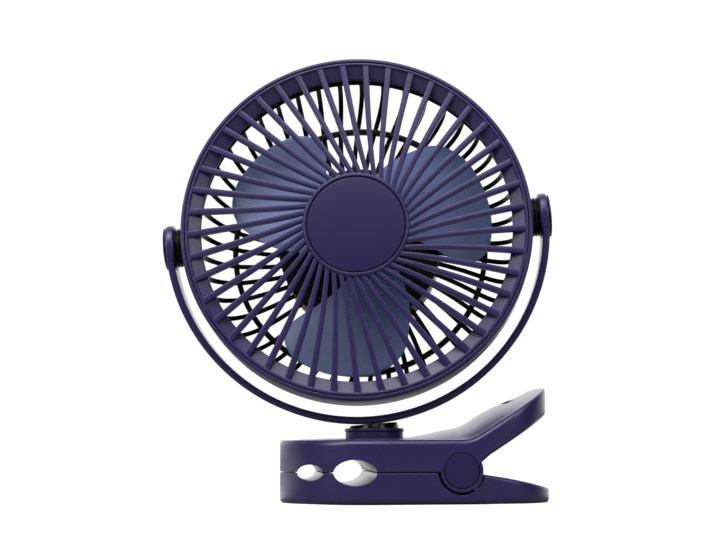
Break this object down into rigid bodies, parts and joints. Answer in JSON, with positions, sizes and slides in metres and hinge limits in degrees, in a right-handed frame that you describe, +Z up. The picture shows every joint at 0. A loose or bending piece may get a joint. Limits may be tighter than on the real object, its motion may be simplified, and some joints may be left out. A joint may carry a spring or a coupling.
{
  "type": "clip fan",
  "caption": "Round desk fan on a sprung clip: swirled front guard, bowl rear guard, tilting head in a half-ring yoke on a ball neck.",
  "frame": {"origin": "on the surface that the clip stands on, straight below the middle of the ball neck", "axes": "+Z up, +X along the clip from its nose to its lever, the fan faces -Y"},
  "size_m": [0.1786, 0.0965, 0.2042],
  "materials": {
    "purple_shell": "satin",
    "black_shell": "glossy",
    "blade_blue": "satin",
    "rubber_pad": "matte",
    "steel": "satin",
    "cell_wrap": "satin",
    "board_green": "matte",
    "light_lens": "glossy"
  },
  "bodies": {
    "clip_base": {"lower_jaw": "purple_shell", "foot_pad": "rubber_pad", "lower_grip_pad": "rubber_pad", "clip_spring": "steel"},
    "clip_lever": {"upper_jaw": "purple_shell", "upper_grip_pad": "rubber_pad", "hinge_pin": "steel", "hinge_cap_front": "purple_shell", "hinge_cap_rear": "purple_shell"},
    "neck": {"neck_cup": "purple_shell", "neck_washer": "steel", "neck_screw": "steel"},
    "yoke_arm": {"ball_stud": "black_shell", "yoke": "purple_shell", "yoke_screw": "steel", "yoke_cap_left": "purple_shell", "yoke_cap_right": "purple_shell"},
    "head": {"guard_ring": "purple_shell", "front_guard": "purple_shell", "hub_disc": "purple_shell", "rear_guard": "black_shell", "pivot_spacer_left": "black_shell", "pivot_spacer_right": "black_shell", "pivot_screw_left": "steel", "pivot_screw_right": "steel", "motor": "steel", "battery_cell_upper": "cell_wrap", "battery_cell_lower": "cell_wrap", "circuit_board": "board_green", "rear_cover": "purple_shell", "cover_screw_1": "steel", "cover_screw_2": "steel", "cover_screw_3": "steel", "charging_socket": "steel", "status_light": "light_lens"},
    "rotor": {"impeller": "blade_blue", "motor_shaft": "steel", "impeller_nut": "steel"},
    "button": {"power_button": "black_shell"}
  },
  "joints": [
    {"name": "clip_jaw", "type": "hinge", "parent": "clip_base", "child": "clip_lever", "pos_m": [0.0342, 0, 0.0147], "axis": [0, 1, 0], "range_deg": [0, 25], "stiffness_Nm_per_rad": 1.5, "springref_deg": -34.38},
    {"name": "neck_swivel", "type": "hinge", "parent": "clip_lever", "child": "neck", "pos_m": [0, 0, 0.025], "axis": [0, 0, 1], "continuous": true},
    {"name": "neck_lean", "type": "hinge", "parent": "neck", "child": "yoke_arm", "pos_m": [0, 0, 0.0306], "axis": [-0.2216, -0.9751, 0], "range_deg": [-12.5, 3]},
    {"name": "head_tilt", "type": "hinge", "parent": "yoke_arm", "child": "head", "pos_m": [-0.00731, 0.00166, 0.1232], "axis": [0.9902, -0.1142, 0.0802], "continuous": true},
    {"name": "fan_spin", "type": "hinge", "parent": "head", "child": "rotor", "pos_m": [-0.00731, 0.00166, 0.1232], "axis": [0.1231, 0.9856, -0.1163], "continuous": true},
    {"name": "power_press", "type": "slide", "parent": "head", "child": "button", "axis": [-0.1231, -0.9856, 0.1163], "range_m": [0, 0.001], "stiffness_N_per_m": 600, "springref_m": -0.0015}
  ]
}
